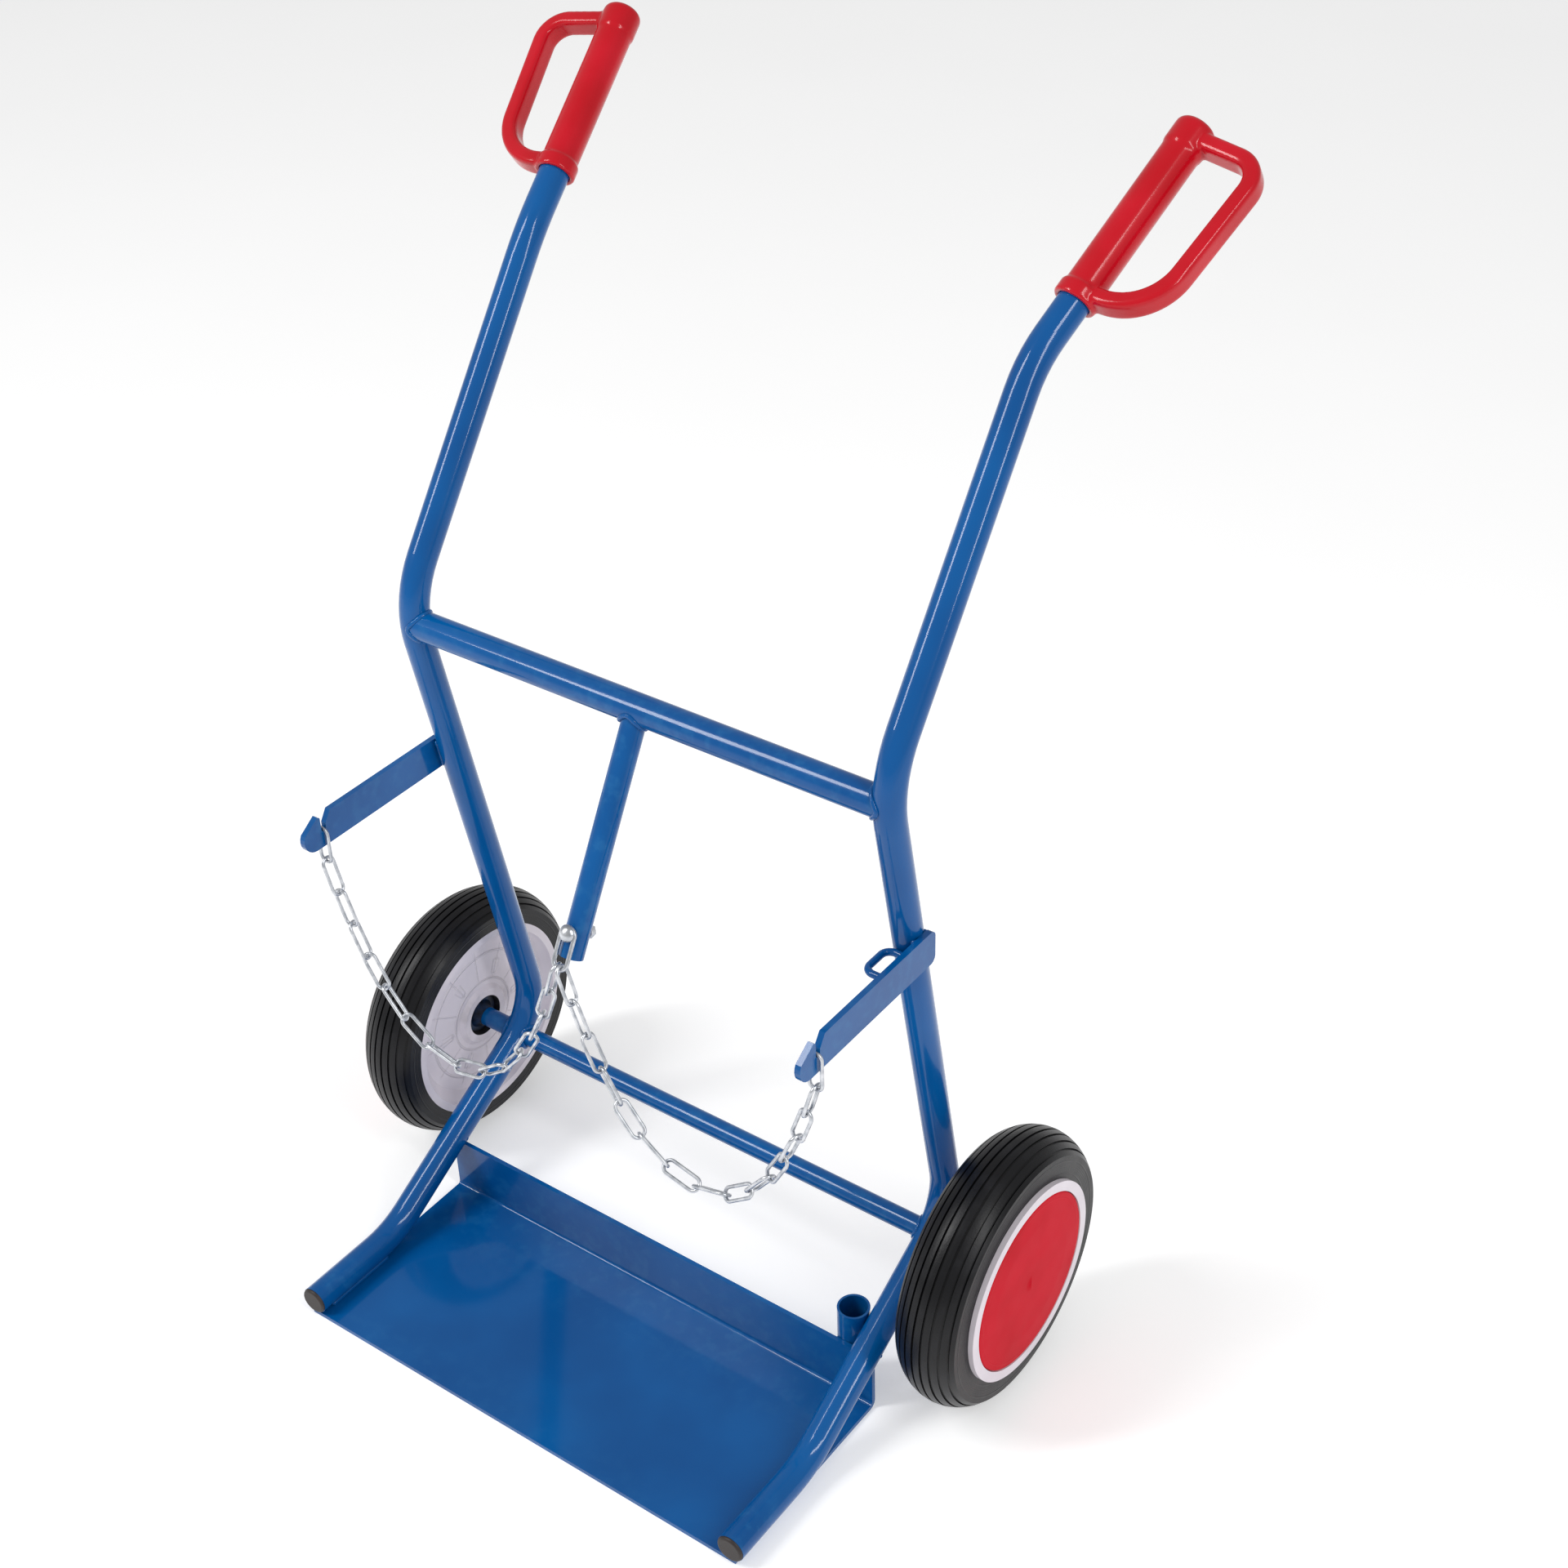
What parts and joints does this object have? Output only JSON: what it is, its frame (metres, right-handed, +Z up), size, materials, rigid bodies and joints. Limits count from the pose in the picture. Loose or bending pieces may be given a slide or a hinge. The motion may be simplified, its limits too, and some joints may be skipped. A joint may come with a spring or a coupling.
{
  "type": "gas cylinder hand truck",
  "caption": "Two-wheeled hand truck for two gas cylinders: bent tube frame, toe plate, hook arms with safety chains, rod holder and guarded grips.",
  "frame": {"origin": "on the floor, midway between the wheels, straight under the axle", "axes": "+Z up; -Y to the front, where the toe plate reaches; +X to the side that has the rod cup and the guide eye"},
  "size_m": [0.6516, 0.5781, 1.0002],
  "materials": {
    "blue_paint": "gloss enamel on steel",
    "zinc_steel": "bright zinc plate",
    "red_plastic": "moulded, satin gloss",
    "grey_plastic": "moulded, fine grain",
    "dark_plastic": "moulded, dull",
    "black_rubber": "solid rubber, soft sheen"
  },
  "bodies": {
    "frame": {"side_tube_left": "blue_paint", "side_tube_right": "blue_paint", "crossbar": "blue_paint", "chain_post": "blue_paint", "axle": "blue_paint", "toe_plate": "blue_paint", "foot_plug_left": "dark_plastic", "foot_plug_right": "dark_plastic", "hook_arm_left": "blue_paint", "hook_arm_right": "blue_paint", "rod_cup": "blue_paint", "rod_cup_base": "blue_paint", "rod_guide_eye": "blue_paint", "chain_bolt": "zinc_steel", "bolt_washer": "zinc_steel", "cap_nut": "zinc_steel", "shackle_link": "zinc_steel", "hook_link_left": "zinc_steel", "hook_link_right": "zinc_steel", "grip_left": "red_plastic", "grip_right": "red_plastic", "stop_washers": "blue_paint", "outer_washers": "zinc_steel", "split_pins": "zinc_steel"},
    "left_wheel": {"tyre_left": "black_rubber", "rim_left": "grey_plastic", "bush_left": "dark_plastic", "hub_cap_left": "red_plastic"},
    "right_wheel": {"tyre_right": "black_rubber", "rim_right": "grey_plastic", "bush_right": "dark_plastic", "hub_cap_right": "red_plastic"},
    "left_chain": {"chain_left": "zinc_steel"},
    "right_chain": {"chain_right": "zinc_steel"}
  },
  "joints": [
    {"name": "left_wheel_spin", "type": "hinge", "parent": "frame", "child": "left_wheel", "pos_m": [-0.2925, 0, 0.122], "axis": [1, 0, 0], "continuous": true},
    {"name": "right_wheel_spin", "type": "hinge", "parent": "frame", "child": "right_wheel", "pos_m": [0.2925, 0, 0.122], "axis": [1, 0, 0], "continuous": true},
    {"name": "left_chain_swing", "type": "hinge", "parent": "frame", "child": "left_chain", "pos_m": [-0.0021, -0.17575, 0.41999], "axis": [0.9998, 0.0134, -0.0155], "range_deg": [-85, 55]},
    {"name": "right_chain_swing", "type": "hinge", "parent": "frame", "child": "right_chain", "pos_m": [0.0021, -0.17575, 0.41999], "axis": [0.9998, -0.0134, 0.0155], "range_deg": [-85, 55]}
  ]
}
